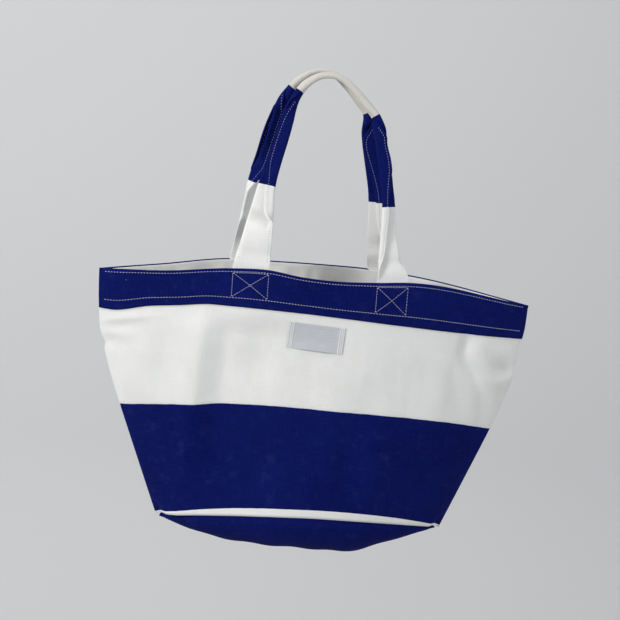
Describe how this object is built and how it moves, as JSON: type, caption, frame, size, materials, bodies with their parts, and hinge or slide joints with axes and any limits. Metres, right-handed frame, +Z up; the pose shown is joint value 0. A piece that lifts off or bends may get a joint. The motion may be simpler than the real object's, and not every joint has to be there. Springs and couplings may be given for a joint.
{
  "type": "canvas tote bag",
  "caption": "Open-topped striped canvas tote with a wide mouth, a narrower boat-shaped base and a pair of carrying loops with round grips.",
  "frame": {"origin": "the point where a hook bears on the underside of the grips, at their crown", "axes": "+Z up with the bag hanging, -Y out of the bag's front, +X to the right of someone facing the front"},
  "size_m": [0.4812, 0.119, 0.5415],
  "materials": {
    "striped_canvas": "heavy plain-weave cotton canvas in woven blue and white bands",
    "blue_canvas": "heavy plain-weave cotton canvas, deep blue",
    "white_canvas": "plain-weave cotton canvas, white, with a blue upper edge",
    "strap_canvas": "folded canvas strap in white and blue lengths",
    "cotton_cord": "soft twisted cotton cord, unbleached",
    "woven_label": "fine satin-woven tape, blank",
    "white_thread": "matt spun sewing thread, white",
    "binding_tape": "flat cotton binding tape"
  },
  "bodies": {
    "bag": {"front_panel": "striped_canvas", "back_panel": "striped_canvas", "base_panel": "blue_canvas", "front_rim_facing": "white_canvas", "back_rim_facing": "white_canvas", "front_strap_ends": "strap_canvas", "back_strap_ends": "strap_canvas", "rim_top_stitching": "white_thread", "rim_lower_stitching": "white_thread", "front_box_stitching": "white_thread", "back_box_stitching": "white_thread", "label": "woven_label", "label_stitching": "white_thread", "left_seam_binding": "binding_tape", "right_seam_binding": "binding_tape", "base_seam_binding": "binding_tape"},
    "front_loop": {"front_handle": "strap_canvas", "front_grip_cord": "cotton_cord", "front_handle_stitching": "white_thread"},
    "back_loop": {"back_handle": "strap_canvas", "back_grip_cord": "cotton_cord", "back_handle_stitching": "white_thread"}
  },
  "joints": [
    {"name": "front_handle_swing", "type": "hinge", "parent": "bag", "child": "front_loop", "pos_m": [0.01, -0.03908, -0.2072], "axis": [1, 0, 0], "range_deg": [0, 176]},
    {"name": "back_handle_swing", "type": "hinge", "parent": "bag", "child": "back_loop", "pos_m": [0.01, 0.03908, -0.2072], "axis": [-1, 0, 0], "range_deg": [0, 176]}
  ]
}
